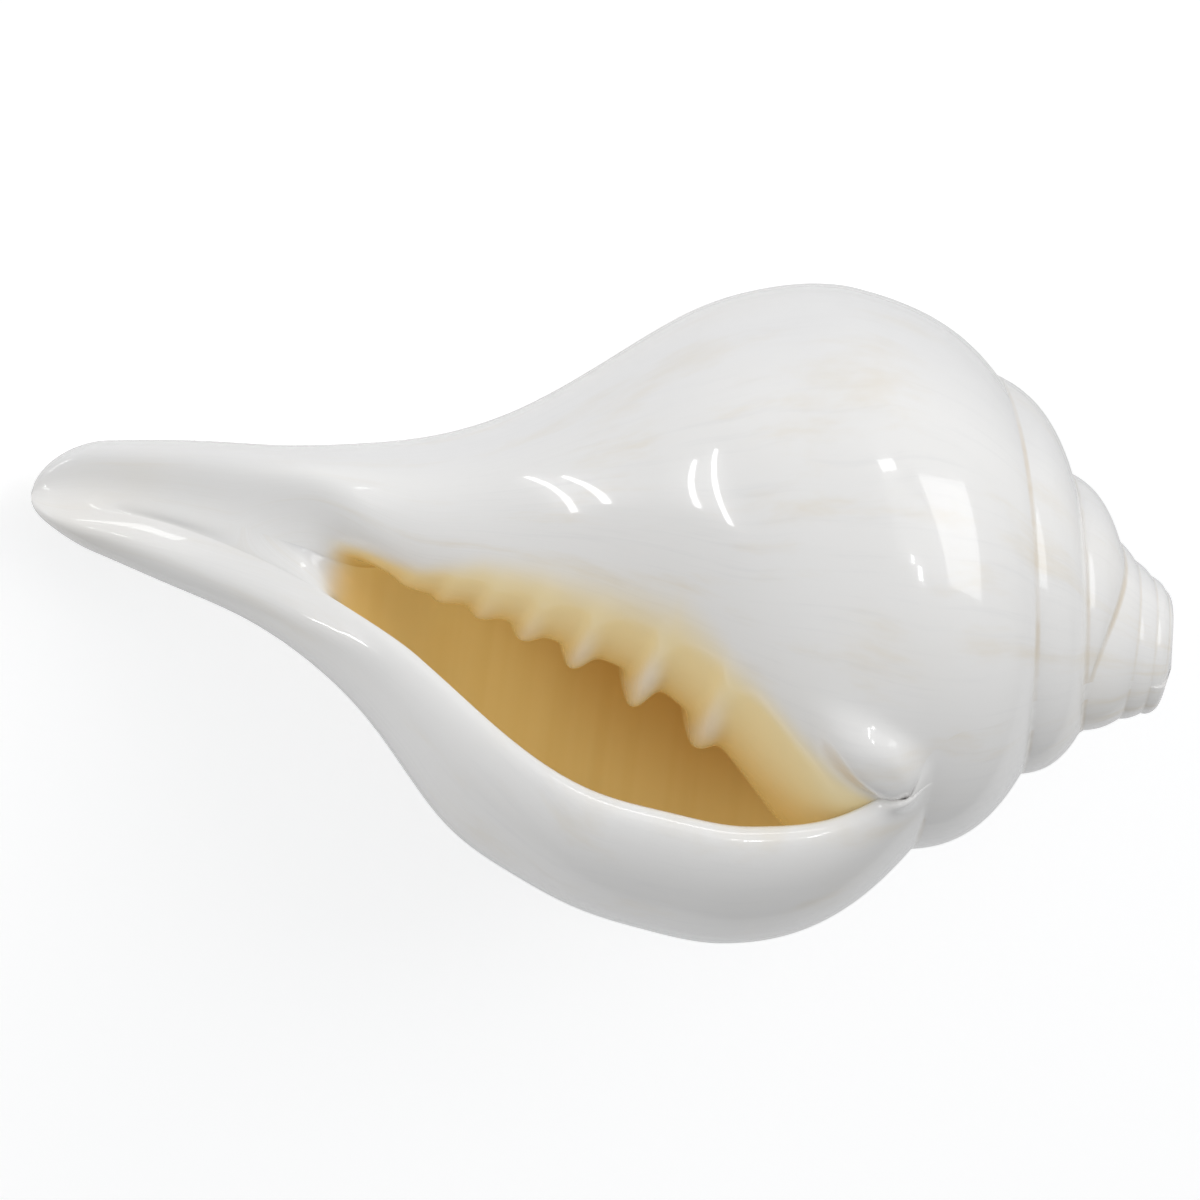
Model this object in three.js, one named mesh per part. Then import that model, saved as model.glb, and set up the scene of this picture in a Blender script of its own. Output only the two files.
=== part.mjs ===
// Sacred chank shell: a right-handed coiled sea shell with a long open canal, a wide mouth,
// a toothed inner edge and a low stepped spire. It is one closed solid.
//
// The shell is described in its own frame first:
//   a      distance along the coiling line, from the canal's tip (0) to the apex (LENGTH)
//   theta  direction around the coiling line in degrees: 0 to one side, 90 towards the mouth's
//          front, 180 to the lip's side, 270 to the back. It keeps counting up, one full turn
//          for each whorl further back, so theta + 360 is the whorl one turn older.
// The surface is a stack of closed loops, one for each level of a. Each loop runs from the lip's
// rim over the outside, one turn round, into the mouth along the core and back along the inside
// of the wall. At the end the shell is turned onto its back, the way it lies on a table.

import * as THREE from "three";

// ---- driving dimensions, millimetres and degrees ----
const LENGTH = 159.5;
const TIP_ROUND = 9.0;
const APEX_ROUND = 2.0;
const APEX_SHRINK = 0.22;
const APEX_DOME = 0.8;
const TIP_PULL = 0.65;
const LEVELS = 80;
const OUTER_POINTS = 38;
const INNER_POINTS = 24;

// The way down when the shell lies at rest, as a direction in its own frame (a, up, front).
const REST_DOWN = [-0.3478, 0.5058, -0.7894];

// The spiral seam between the whorls: direction, distance along.
const SEAM = [
  [90, 126.4], [130, 127.2], [180, 127.8], [270, 128.4], [360, 130.6], [450, 138.0], [540, 141.7],
  [630, 142.0], [720, 142.6], [810, 146.0], [900, 149.3], [990, 149.9], [1080, 150.4], [1125, 151.4],
  [1165, 149.8], [1200, 147.9], [1260, 150.0], [1350, 152.6], [1440, 153.6], [1620, 154.5],
  [1800, 156.2], [1980, 157.4], [2160, 158.4],
];
// Distance along, radius of the seam.
const CONE = [
  [120, 36.6], [127.6, 35.2], [131.9, 31.4], [138, 26.2], [142.2, 21.4], [146.3, 17.3], [149.5, 14.3],
  [153.6, 11.4], [157.4, 9.3], [160, 8.0],
];
// Distance along, how far the coiling line's centre sits off to the side and to the front.
const CENTRE_SIDE = [
  [0, -0.6], [8, -0.2], [16, 0.0], [37, 0.8], [58, 2.0], [79, 2.2], [100, 2.1], [116, 1.7], [126, 1.5],
  [133, 1.2], [143, 0.7], [149.5, 0.1], [154.5, -0.9], [160, -1.6],
];
const CENTRE_FRONT = [[0, -1.5], [16, -1.8], [30, -1.2], [45, 0], [160, 0]];
// The body whorl's widest line: direction, distance along, radius.
const CREST = [
  [150, 104.0, 46.0], [180, 103.5, 52.3], [270, 106.0, 46.2], [360, 110.0, 41.3], [425, 116.0, 37.8],
  [480, 125.2, 35.7], [560, 132.0, 34.0],
];
// Where the widest line has run into the seam one turn older: the two directions it changes over.
const CREST_JOIN = [395, 480];
// The body whorl's radius at each tenth of the way from the tip to its crest, for eight directions.
const DIRECTIONS = [150, 180, 270, 360, 450, 540, 630, 720];
const BODY = [
  [7.0, 7.7, 8.0, 8.7, 7.2, 7.0, 6.0, 6.0],
  [8.4, 10.8, 9.0, 9.8, 8.2, 7.6, 7.0, 6.5],
  [10.8, 14.2, 10.5, 10.2, 8.7, 7.8, 7.6, 7.0],
  [15.2, 19.8, 14.0, 11.2, 9.0, 8.4, 8.0, 7.6],
  [22.3, 28.6, 19.5, 13.2, 10.3, 10.6, 9.0, 8.4],
  [30.0, 39.8, 26.0, 18.2, 14.5, 14.0, 11.5, 10.4],
  [37.6, 46.2, 33.0, 26.4, 21.0, 17.9, 16.0, 14.5],
  [42.8, 50.2, 39.5, 34.9, 28.5, 27.3, 22.5, 20.0],
  [45.0, 52.0, 44.0, 39.8, 34.0, 37.6, 31.5, 26.5],
];
// Distance along, direction of the lip's rim.
const RIM_ANGLE = [
  [0, 112], [8, 116], [22, 134], [40, 146], [53, 150.4], [62, 151.8], [72, 151.8], [84, 151.2],
  [98, 149.8], [108, 148.5], [116, 146], [121, 141.5], [124, 138], [128, 136], [160, 136],
];
// Distance along, thickness of the wall at the mouth.
const WALL = [
  [0, 4.0], [20, 4.4], [40, 5.2], [60, 6.0], [80, 6.4], [100, 6.4], [116, 5.8], [122, 5.0], [160, 5.0],
];
// Distance along, how deep the hollow runs back from the rim, in turns. Below zero the mouth is
// closed, and the number is the width of the ramp that is left.
const HOLLOW = [
  [0, -0.06], [28, -0.06], [31, 0.0], [34, 0.07], [38, 0.15], [46, 0.23], [56, 0.31], [66, 0.38],
  [80, 0.43], [100, 0.42], [108, 0.36], [114, 0.25], [118, 0.12], [121, 0.035], [123, 0.012],
  [126, -0.03], [130, -0.045], [160, -0.045],
];
// The open canal: distance along, direction of its floor, side position of its middle, height of
// its floor, how steeply its sides rise, how softly its edges are rounded.
const CANAL = [
  [0, 76, 1.4, 3.0, 0.13, 4.5],
  [8, 78, 1.3, 3.1, 0.12, 4.5],
  [16, 84, 0.6, 3.6, 0.09, 5],
  [24, 94, -0.6, 4.1, 0.075, 6],
  [32, 106, -2.3, 4.6, 0.065, 7],
  [40, 120, -4.6, 4.8, 0.07, 7],
  [52, 135, -8, 4.4, 0.09, 6],
];
const CANAL_FADE = [38, 57];
// How far the lip's rounded edge reaches, in edge widths.
const LIP_REACH = 2.1;
// The teeth on the mouth's inner edge: distance along, height.
const TEETH = [
  [52.5, 0.5], [57.9, 0.8], [63.4, 1.3], [69.8, 1.9], [77.2, 2.9], [86.2, 4.6], [95.4, 3.7],
];
const TEETH_DIRECTION = 545;
const TEETH_SPAN = 75;
const TEETH_SLANT = 4.0;
const TEETH_WIDTHS = [1.5, 2.5];
// The thick glaze at the lip's corner: distance along, direction, reach along, reach round, height.
const CALLUS = [121.0, 490.0, 8.5, 5.0, 7.5, 2.6];
const CALLUS_SLANT = 0.6;
// Where the lip's edge sinks into the glaze at its end, along the shell.
const LIP_END = [120.5, 125];
// A whorl's slope at its crest, and how far an older whorl bulges between its seams.
const SHOULDER_START = 0.2;
const WHORL_ROLL = 0.055;
// How far apart the levels are, as a ratio, along the shell.
const SPACING = [
  [0, 0.25], [3, 0.5], [9, 1.2], [30, 1.0], [45, 0.6], [52, 0.42], [102, 0.42], [112, 0.6],
  [119, 0.45], [128, 0.4], [150, 0.35], [159.5, 0.2],
];

// ---- small helpers ----
const clamp = (x, low, high) => Math.min(Math.max(x, low), high);
const radians = (degrees) => (degrees * Math.PI) / 180;
const degrees = (angle) => (angle * 180) / Math.PI;

function smooth(x, low, high) {
  const t = clamp((x - low) / (high - low), 0, 1);
  return t * t * (3 - 2 * t);
}

// A quarter circle that leaves 0 steeply and arrives at 1 level.
function quarterRound(x) {
  const t = 1 - clamp(x, 0, 1);
  return Math.sqrt(Math.max(1 - t * t, 0));
}

// Cubic spline through points, free at its start. It is free at its end too, or has endSlope there.
function spline(points, endSlope) {
  const n = points.length;
  const h = points.slice(1).map((p, i) => p[0] - points[i][0]);
  const rise = points.slice(1).map((p, i) => (p[1] - points[i][1]) / h[i]);
  const diagonal = new Array(n).fill(1);
  const right = new Array(n).fill(0);
  const upper = new Array(n).fill(0);
  const lower = new Array(n).fill(0);
  for (let i = 1; i < n - 1; i++) {
    lower[i] = h[i - 1];
    diagonal[i] = 2 * (h[i - 1] + h[i]);
    upper[i] = h[i];
    right[i] = 6 * (rise[i] - rise[i - 1]);
  }
  if (endSlope !== undefined) {
    lower[n - 1] = h[n - 2];
    diagonal[n - 1] = 2 * h[n - 2];
    right[n - 1] = 6 * (endSlope - rise[n - 2]);
  }
  for (let i = 1; i < n; i++) {
    const ratio = lower[i] / diagonal[i - 1];
    diagonal[i] -= ratio * upper[i - 1];
    right[i] -= ratio * right[i - 1];
  }
  const bend = new Array(n).fill(0);
  bend[n - 1] = right[n - 1] / diagonal[n - 1];
  for (let i = n - 2; i >= 0; i--) {
    bend[i] = (right[i] - upper[i] * bend[i + 1]) / diagonal[i];
  }
  const startSlope = rise[0] - (h[0] * (2 * bend[0] + bend[1])) / 6;
  const lastSlope = rise[n - 2] + (h[n - 2] * (bend[n - 2] + 2 * bend[n - 1])) / 6;
  return (x) => {
    if (x < points[0][0]) {
      return points[0][1] + (x - points[0][0]) * startSlope;
    }
    if (x > points[n - 1][0]) {
      return points[n - 1][1] + (x - points[n - 1][0]) * lastSlope;
    }
    let k = 0;
    while (k < n - 2 && x > points[k + 1][0]) {
      k++;
    }
    const s = (points[k + 1][0] - x) / h[k];
    const t = 1 - s;
    const cubic = (s ** 3 - s) * bend[k] + (t ** 3 - t) * bend[k + 1];
    return s * points[k][1] + t * points[k + 1][1] + (cubic * h[k] ** 2) / 6;
  };
}

// Curve through points that never overshoots them, level beyond its ends.
function steadyCurve(points) {
  const n = points.length;
  const h = points.slice(1).map((p, i) => p[0] - points[i][0]);
  const rise = points.slice(1).map((p, i) => (p[1] - points[i][1]) / h[i]);
  const slope = new Array(n).fill(0);
  for (let i = 1; i < n - 1; i++) {
    if (rise[i - 1] * rise[i] > 0) {
      const w1 = 2 * h[i] + h[i - 1];
      const w2 = h[i] + 2 * h[i - 1];
      slope[i] = (w1 + w2) / (w1 / rise[i - 1] + w2 / rise[i]);
    }
  }
  slope[0] = rise[0];
  slope[n - 1] = rise[n - 2];
  return (x) => {
    const v = clamp(x, points[0][0], points[n - 1][0]);
    let k = 0;
    while (k < n - 2 && v > points[k + 1][0]) {
      k++;
    }
    const t = (v - points[k][0]) / h[k];
    const start = points[k][1] * (1 + 2 * t) * (1 - t) ** 2 + slope[k] * h[k] * t * (1 - t) ** 2;
    const end = points[k + 1][1] * t * t * (3 - 2 * t) - slope[k + 1] * h[k] * t * t * (1 - t);
    return start + end;
  };
}

function between(points, x) {
  let k = 0;
  while (k < points.length - 2 && x > points[k + 1][0]) {
    k++;
  }
  const t = clamp((x - points[k][0]) / (points[k + 1][0] - points[k][0]), 0, 1);
  return points[k][1] * (1 - t) + points[k + 1][1] * t;
}

const column = (rows, k) => rows.map((row) => [row[0], row[k]]);

const seamLine = spline(SEAM);
const coneRadius = spline(CONE);
const centreSide = spline(CENTRE_SIDE);
const centreFront = steadyCurve(CENTRE_FRONT);
const crestAlongAlone = spline(column(CREST, 1));
const crestRadiusAlone = spline(column(CREST, 2));
const rimAngle = spline(RIM_ANGLE);
const wallThickness = spline(WALL);
const hollowDepth = steadyCurve(HOLLOW);
const canalShape = [1, 2, 3, 4, 5].map((k) => spline(column(CANAL, k)));
const bodyRows = BODY.map((row) => spline(row.map((radius, k) => [DIRECTIONS[k], radius])));

// ---- the whorls ----
const FIRST = 60;
const LAST = 780;

// How far a direction is into the older, straighter-sided whorls, 0 to 1.
const age = (theta) => smooth(theta, 380, 560);

// How far the oldest whorls are worn to a plain cone, 0 to 1.
const worn = (theta) => smooth(theta, 1150, 1400);

// A whorl's fall from its crest, 1, to its seam, 0.
function shoulder(s, late, plain) {
  const c1 = SHOULDER_START + 0.25 * late + 0.35 * plain;
  const c2 = 0.5 - 0.3 * late - 0.05 * plain;
  return 1 - (c1 * s + c2 * s ** 2 + (1 - c1 - c2) * s ** 4);
}

// How far an older whorl bulges between its two seams.
const roll = (s, late, span) => WHORL_ROLL * span * late * 4 * s * (1 - s);

// The widest line runs into the seam of the whorl one turn older.
function crestAlong(theta) {
  const join = smooth(theta, CREST_JOIN[0], CREST_JOIN[1]);
  return crestAlongAlone(theta) * (1 - join) + seamLine(theta - 360) * join;
}

function crestRadius(theta) {
  const join = smooth(theta, CREST_JOIN[0], CREST_JOIN[1]);
  return crestRadiusAlone(theta) * (1 - join) + coneRadius(seamLine(theta - 360)) * join;
}

// For each whole direction: the body whorl's radius as a function of the distance along.
const bodyWhorl = [];
for (let theta = FIRST; theta <= LAST; theta++) {
  const crestA = crestAlong(theta);
  const crestR = crestRadius(theta);
  const seamA = seamLine(theta);
  const seamR = coneRadius(seamA);
  const late = age(theta);
  const knots = bodyRows.map((row, k) => [((k + 1) / 10) * crestA, row(theta)]);
  knots.push([crestA, crestR]);
  const span = seamA - crestA;
  const fall = (-(SHOULDER_START + 0.25 * late) * (crestR - seamR)) / span;
  const rising = spline(knots, fall + WHORL_ROLL * late * 4);
  bodyWhorl.push((a) => {
    if (a <= crestA) {
      return rising(a);
    }
    const s = clamp((a - crestA) / span, 0, 1.2);
    return seamR + (crestR - seamR) * shoulder(s, late, 0) + roll(s, late, span);
  });
}

// The seams that one direction crosses, and the radius at each.
const MAX_WHORLS = 6;
const seamsAt = bodyWhorl.map((_, k) => {
  const places = [];
  for (let n = 0; n < MAX_WHORLS; n++) {
    const place = Math.min(seamLine(FIRST + k + 360 * n), LENGTH + 1);
    places.push(n === 0 ? place : Math.max(place, places[n - 1] + 0.05));
  }
  return places;
});

// The outermost surface at one level, for each whole direction.
function outerRadii(a) {
  return bodyWhorl.map((whorl, k) => {
    const seams = seamsAt[k];
    if (a < seams[0]) {
      return whorl(a);
    }
    for (let n = 1; n < MAX_WHORLS; n++) {
      if (a < seams[n] || seams[n] >= LENGTH || n === MAX_WHORLS - 1) {
        const high = Math.min(seams[n], LENGTH);
        const s = clamp((a - seams[n - 1]) / Math.max(high - seams[n - 1], 0.3), 0, 1);
        const r0 = coneRadius(Math.min(seams[n - 1], LENGTH));
        const r1 = coneRadius(high);
        const theta = FIRST + k + 360 * n;
        const fallen = r1 + (r0 - r1) * shoulder(s, age(theta), worn(theta));
        return fallen + roll(s, age(theta), high - seams[n - 1]);
      }
    }
    return 0;
  });
}

function readRow(row, theta) {
  const x = clamp(theta - FIRST, 0, row.length - 1);
  const k = Math.min(Math.floor(x), row.length - 2);
  return row[k] + (row[k + 1] - row[k]) * (x - k);
}

// How far the teeth stand out of the core at one place.
function teethHeight(a, theta) {
  const back = clamp(1 - (TEETH_DIRECTION - theta) / TEETH_SPAN, 0, 1);
  const front = clamp(1 - (theta - TEETH_DIRECTION - 15) / 70, 0, 1);
  const t = theta < TEETH_DIRECTION ? back : front;
  const envelope = t * t * (3 - 2 * t);
  let height = 0;
  for (const [place, size] of TEETH) {
    const x = a - (place + ((TEETH_DIRECTION - theta) / TEETH_SPAN) * TEETH_SLANT);
    const width = TEETH_WIDTHS[x < 0 ? 0 : 1];
    height += size * Math.exp(-(Math.abs(x / width) ** 2.3)) * envelope;
  }
  return height;
}

// How far the thick glaze at the lip's corner stands out at one place.
function callusHeight(a, theta) {
  const [place, direction, reachToCanal, reachToApex, roundReach, size] = CALLUS;
  const away = a - place;
  const x = away / (away < 0 ? reachToCanal : reachToApex);
  const y = (theta - direction - away * CALLUS_SLANT) / roundReach;
  return size * Math.exp(-((x * x + y * y) ** 2)) * (1 - smooth(a, 124.5, 127.5));
}

// Count directions from one to another, closer together towards both ends.
function spread(from, to, count, nearStart, nearEnd, reachStart, reachEnd) {
  const steps = [0];
  for (let i = 0; i < count - 1; i++) {
    const start = nearStart * Math.exp(-i / reachStart);
    const end = nearEnd * Math.exp(-(count - 2 - i) / reachEnd);
    steps.push(steps[i] + 1 / (1 + start + end));
  }
  return steps.map((s) => from + ((to - from) * s) / steps[count - 1]);
}

// Levels along the shell, closer together where its shape changes quickly.
function spreadLevels(count) {
  const samples = 4000;
  const total = [0];
  for (let i = 1; i <= samples; i++) {
    total.push(total[i - 1] + 1 / between(SPACING, ((i - 0.5) / samples) * LENGTH));
  }
  const levels = [];
  let k = 0;
  for (let i = 1; i <= count; i++) {
    const goal = (total[samples] * i) / (count + 1);
    while (total[k + 1] < goal) {
      k++;
    }
    levels.push(((k + (goal - total[k]) / (total[k + 1] - total[k])) / samples) * LENGTH);
  }
  return levels;
}

// Press the canal's rounded trough into the side that faces the front.
function pressCanal(side, front, middle, floor, steepness, softness) {
  if (front <= 0) {
    return front;
  }
  const trough = floor + steepness * (side - middle) ** 2;
  const blend = Math.max(softness - Math.abs(front - trough), 0) / softness;
  return Math.min(front, trough) - (blend * blend * softness) / 4;
}

// One closed loop of the surface, as [a, side, front] points.
function loopAt(a) {
  const outer = outerRadii(a);
  const skin = (theta) => readRow(outer, theta);
  const rim = rimAngle(a);
  const thick = wallThickness(a);
  const depth = hollowDepth(a);
  const side0 = centreSide(a);
  const front0 = centreFront(a);
  const roundOver = degrees((0.62 * thick) / Math.max(skin(rim), 6));
  const tip = rim - roundOver * 0.6;
  const step = Math.max(skin(tip) - skin(tip + 360), 0);
  const flush = 1 - 0.7 * smooth(a, ...LIP_END);
  const h = a > seamLine(tip) ? 0 : Math.min(thick, 1.8 * step) * flush;
  const end = rim + 360 + 360 * depth;
  const turn = rim + 334;

  const outsideCount = Math.floor(OUTER_POINTS * 0.66);
  const coreCount = OUTER_POINTS - outsideCount;
  const outside = spread(tip, turn, outsideCount + 1, 3, 0.6, outsideCount * 0.06, 14).slice(0, -1);
  const core = spread(turn, end, coreCount, 0, 5, 4, coreCount * 0.1);
  const inside = spread(end - 360, tip, INNER_POINTS + 2, 3, 10, INNER_POINTS * 0.06, INNER_POINTS * 0.09);
  const out = [...outside, ...core];
  const back = inside.slice(1, -1);

  const tipRadius = skin(tip) - h / 2;
  const lipRound = (theta) => (h / 2) * (1 - quarterRound((theta - tip) / (roundOver * LIP_REACH)));
  const wallInside = (theta) => {
    if (h === 0) {
      return skin(theta + 360);
    }
    return theta < tip ? tipRadius : skin(theta) - h + lipRound(theta);
  };

  // The blind end of the hollow is rounded between the core and the wall.
  const deepCore = skin(end - 2);
  const deepWall = wallInside(end - 362);
  const gap = Math.max(deepWall - deepCore, 1);
  const reach = degrees((0.55 * gap) / Math.max((deepWall + deepCore) / 2, 4));
  const deepRound = Math.max(Math.min(reach, Math.max((end - 360 - tip) * 0.8, 0)), 2.5);
  const closeOff = (coreR, wallR, theta, towards) => {
    if (theta <= end - deepRound) {
      return towards > 0 ? wallR : coreR;
    }
    const half = (wallR - coreR) / 2;
    return (coreR + wallR) / 2 + towards * half * quarterRound((end - theta) / deepRound);
  };

  const open = smooth(depth, -0.05, 0.07);
  const ramp = (theta) => smooth((theta - (end - 360)) / (tip - (end - 360)), 0, 1);
  const outRadii = out.map((theta) => {
    const plain = skin(theta) - lipRound(theta);
    const closed = closeOff(plain, wallInside(theta - 360), theta, -1);
    const underLip = smooth(theta, tip + 360, tip + 375) * open;
    const callus = callusHeight(a, theta) * (1 - underLip) + callusHeight(a, theta + 360);
    return closed * open + plain * (1 - open) + teethHeight(a, theta) + callus;
  });
  const backRadii = back.map((theta) => {
    const coreR = skin(theta + 360);
    const hollowSide = closeOff(coreR, wallInside(theta), theta + 360, 1);
    const rampSide = h > 0 ? coreR + (tipRadius - coreR) * ramp(theta) : coreR;
    const callus = callusHeight(a, theta + 360) * (1 - open);
    return hollowSide * open + rampSide * (1 - open) + callus;
  });
  const polar = (radius, theta) => {
    return [side0 + radius * Math.cos(radians(theta)), front0 + radius * Math.sin(radians(theta))];
  };
  const directions = [...out, ...back];
  let points = [...outRadii, ...backRadii].map((radius, i) => polar(radius, directions[i]));

  // Towards the tip the loop is a plain outline with the open canal pressed into it.
  const whorled = smooth(a, CANAL_FADE[0], CANAL_FADE[1]);
  if (whorled < 1) {
    const [floorAt, ...press] = canalShape.map((curve) => curve(a));
    const stretch = (360 + floorAt - 400) / (end - 400);
    const plainOut = out.map((theta) => {
      const moved = theta < 400 ? theta : 400 + (theta - 400) * stretch;
      return polar(skin(moved), moved);
    });
    const plainBack = back.map((theta) => {
      const share = (theta - (end - 360)) / (tip - (end - 360));
      const moved = floorAt + (tip - floorAt) * share;
      const ease = smooth(share, 0, 1);
      return polar(skin(moved + 360) * (1 - ease) + skin(tip) * ease, moved);
    });
    const plain = [...plainOut, ...plainBack];
    points = points.map(([side, front], i) => {
      const pressed = pressCanal(plain[i][0] - side0, plain[i][1] - front0, ...press);
      return [
        plain[i][0] * (1 - whorled) + side * whorled,
        (front0 + pressed) * (1 - whorled) + front * whorled,
      ];
    });
  }

  const round = quarterRound(a / TIP_ROUND);
  const shrink = 1 - (1 - quarterRound((LENGTH - a) / APEX_ROUND)) * APEX_SHRINK;
  const along = a - TIP_PULL * Math.max(0, 1 - a / 15) ** 2;
  return points.map(([side, front]) => [
    along,
    side0 + (side - side0) * round * shrink,
    front0 + (front - front0) * round * shrink,
  ]);
}

// ---- the closed surface ----
const loops = spreadLevels(LEVELS).map(loopAt);
const around = OUTER_POINTS + INNER_POINTS;
const middleOf = (loop) => [0, 1, 2].map((k) => loop.reduce((sum, p) => sum + p[k], 0) / loop.length);
const tipPole = middleOf(loops[0]);
tipPole[0] = -TIP_PULL;
const apexPole = middleOf(loops[LEVELS - 1]);
apexPole[0] = LENGTH + APEX_DOME;
const shellPoints = [...loops.flat(), tipPole, apexPole];

// Turn the shell so that REST_DOWN points down and its long axis runs along X.
const upWay = new THREE.Vector3(...REST_DOWN).negate().normalize();
const longWay = new THREE.Vector3(1, 0, 0).addScaledVector(upWay, -upWay.x).normalize();
const sideWay = new THREE.Vector3().crossVectors(upWay, longWay);
const turned = shellPoints.map((p) => {
  const v = new THREE.Vector3(...p);
  return new THREE.Vector3(v.dot(longWay), v.dot(sideWay), v.dot(upWay));
});
const box = new THREE.Box3().setFromPoints(turned);
const origin = box.getCenter(new THREE.Vector3()).setZ(box.min.z);

const positions = new Float32Array(turned.length * 3);
turned.forEach((p, i) => p.sub(origin).toArray(positions, i * 3));

const indices = [];
for (let j = 0; j < LEVELS - 1; j++) {
  for (let i = 0; i < around; i++) {
    const a = j * around + i;
    const b = j * around + ((i + 1) % around);
    indices.push(a, b, b + around);
    indices.push(a, b + around, a + around);
  }
}
const tipIndex = LEVELS * around;
const lastLoop = (LEVELS - 1) * around;
for (let i = 0; i < around; i++) {
  const next = (i + 1) % around;
  indices.push(tipIndex, next, i);
  indices.push(tipIndex + 1, lastLoop + i, lastLoop + next);
}

const geometry = new THREE.BufferGeometry();
geometry.setAttribute("position", new THREE.BufferAttribute(positions, 3));
geometry.setIndex(indices);
geometry.computeVertexNormals();

const porcelain = new THREE.MeshStandardMaterial({ color: 0xf1ede4, roughness: 0.22, metalness: 0 });
const shell = new THREE.Mesh(geometry, porcelain);
shell.name = "shell";

const conch = new THREE.Group();
conch.add(shell);

export default conch;
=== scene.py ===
import math

import bpy
import numpy as np
from mathutils import Matrix, Vector


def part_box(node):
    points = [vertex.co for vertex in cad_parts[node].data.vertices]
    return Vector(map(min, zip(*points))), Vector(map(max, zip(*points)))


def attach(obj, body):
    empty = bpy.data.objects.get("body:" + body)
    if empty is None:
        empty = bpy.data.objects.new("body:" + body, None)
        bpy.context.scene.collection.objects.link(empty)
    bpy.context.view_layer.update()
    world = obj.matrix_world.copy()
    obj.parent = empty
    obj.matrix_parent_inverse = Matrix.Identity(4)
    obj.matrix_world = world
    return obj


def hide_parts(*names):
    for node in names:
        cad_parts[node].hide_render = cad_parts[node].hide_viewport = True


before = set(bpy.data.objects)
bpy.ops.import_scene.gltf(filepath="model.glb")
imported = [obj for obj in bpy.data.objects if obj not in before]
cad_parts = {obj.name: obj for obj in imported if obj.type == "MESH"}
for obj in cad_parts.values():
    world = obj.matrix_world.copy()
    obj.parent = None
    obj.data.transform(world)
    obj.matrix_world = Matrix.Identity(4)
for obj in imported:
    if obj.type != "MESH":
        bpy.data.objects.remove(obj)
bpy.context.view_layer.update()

bl_info = {
    "name": "Chank shell",
    "version": (1, 0, 0),
    "blender": (4, 5, 0),
    "location": "3D View > Sidebar > Shell",
    "description": "Builds a polished white chank shell with its amber mouth, and a plain studio",
    "category": "Object",
}

MM = 0.001

# ---------------------------------------------------------------------------
# The shell's form. Millimetres and degrees, in the shell's own frame:
#   along   distance along the coiling line, from the canal's tip to the apex
#   turn    direction around that line: 0 to one side, 90 to the mouth's front, 180 to the
#           lip's side, 270 to the back; one more full turn for each older whorl
# ---------------------------------------------------------------------------
LENGTH = 159.5

# The canal's tip is rounded over TIP_ROUND and drawn back by TIP_PULL at its very end. The worn
# apex is rounded over APEX_ROUND, down to 1 - APEX_SHRINK of its width, with a low dome on it.
TIP_ROUND = 9.0
TIP_PULL = 0.65
TIP_PULL_REACH = 15
APEX_ROUND = 2.0
APEX_SHRINK = 0.22
APEX_DOME = 0.8

# The direction that points down when the shell lies on its back.
REST_DOWN = (-0.3478, 0.5058, -0.7894)

# The spiral seam: turn, along. It ends each whorl where the next older one comes out.
SEAM = [
    (90, 126.4), (130, 127.2), (180, 127.8), (270, 128.4), (360, 130.6), (450, 138.0),
    (540, 141.7), (630, 142.0), (720, 142.6), (810, 146.0), (900, 149.3), (990, 149.9),
    (1080, 150.4), (1125, 151.4), (1165, 149.8), (1200, 147.9), (1260, 150.0), (1350, 152.6),
    (1440, 153.6), (1620, 154.5), (1800, 156.2), (1980, 157.4), (2160, 158.4),
]

# The cone that the seams lie on: along, radius.
CONE = [
    (120, 36.6), (127.6, 35.2), (131.9, 31.4), (138, 26.2), (142.2, 21.4), (146.3, 17.3),
    (149.5, 14.3), (153.6, 11.4), (157.4, 9.3), (160, 8.0),
]

# Where the middle of the loops wanders to: along, then how far to the side or to the front.
CENTRE_SIDE = [
    (0, -0.6), (8, -0.2), (16, 0.0), (37, 0.8), (58, 2.0), (79, 2.2), (100, 2.1), (116, 1.7),
    (126, 1.5), (133, 1.2), (143, 0.7), (149.5, 0.1), (154.5, -0.9), (160, -1.6),
]
CENTRE_FRONT = [(0, -1.5), (16, -1.8), (30, -1.2), (45, 0), (160, 0)]

# The body whorl. CREST has its widest line: turn, along, radius. It joins the seam of the whorl
# before it over CREST_JOIN. BODY has its radii before the crest: a row for each tenth of the way
# from the canal's tip to the crest, a column for each of the DIRECTIONS.
CREST = [
    (150, 104.0, 46.0), (180, 103.5, 52.3), (270, 106.0, 46.2), (360, 110.0, 41.3),
    (425, 116.0, 37.8), (480, 125.2, 35.7), (560, 132.0, 34.0),
]
CREST_JOIN = (395, 480)
DIRECTIONS = [150, 180, 270, 360, 450, 540, 630, 720]
BODY = [
    (7.0, 7.7, 8.0, 8.7, 7.2, 7.0, 6.0, 6.0),
    (8.4, 10.8, 9.0, 9.8, 8.2, 7.6, 7.0, 6.5),
    (10.8, 14.2, 10.5, 10.2, 8.7, 7.8, 7.6, 7.0),
    (15.2, 19.8, 14.0, 11.2, 9.0, 8.4, 8.0, 7.6),
    (22.3, 28.6, 19.5, 13.2, 10.3, 10.6, 9.0, 8.4),
    (30.0, 39.8, 26.0, 18.2, 14.5, 14.0, 11.5, 10.4),
    (37.6, 46.2, 33.0, 26.4, 21.0, 17.9, 16.0, 14.5),
    (42.8, 50.2, 39.5, 34.9, 28.5, 27.3, 22.5, 20.0),
    (45.0, 52.0, 44.0, 39.8, 34.0, 37.6, 31.5, 26.5),
]

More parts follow.
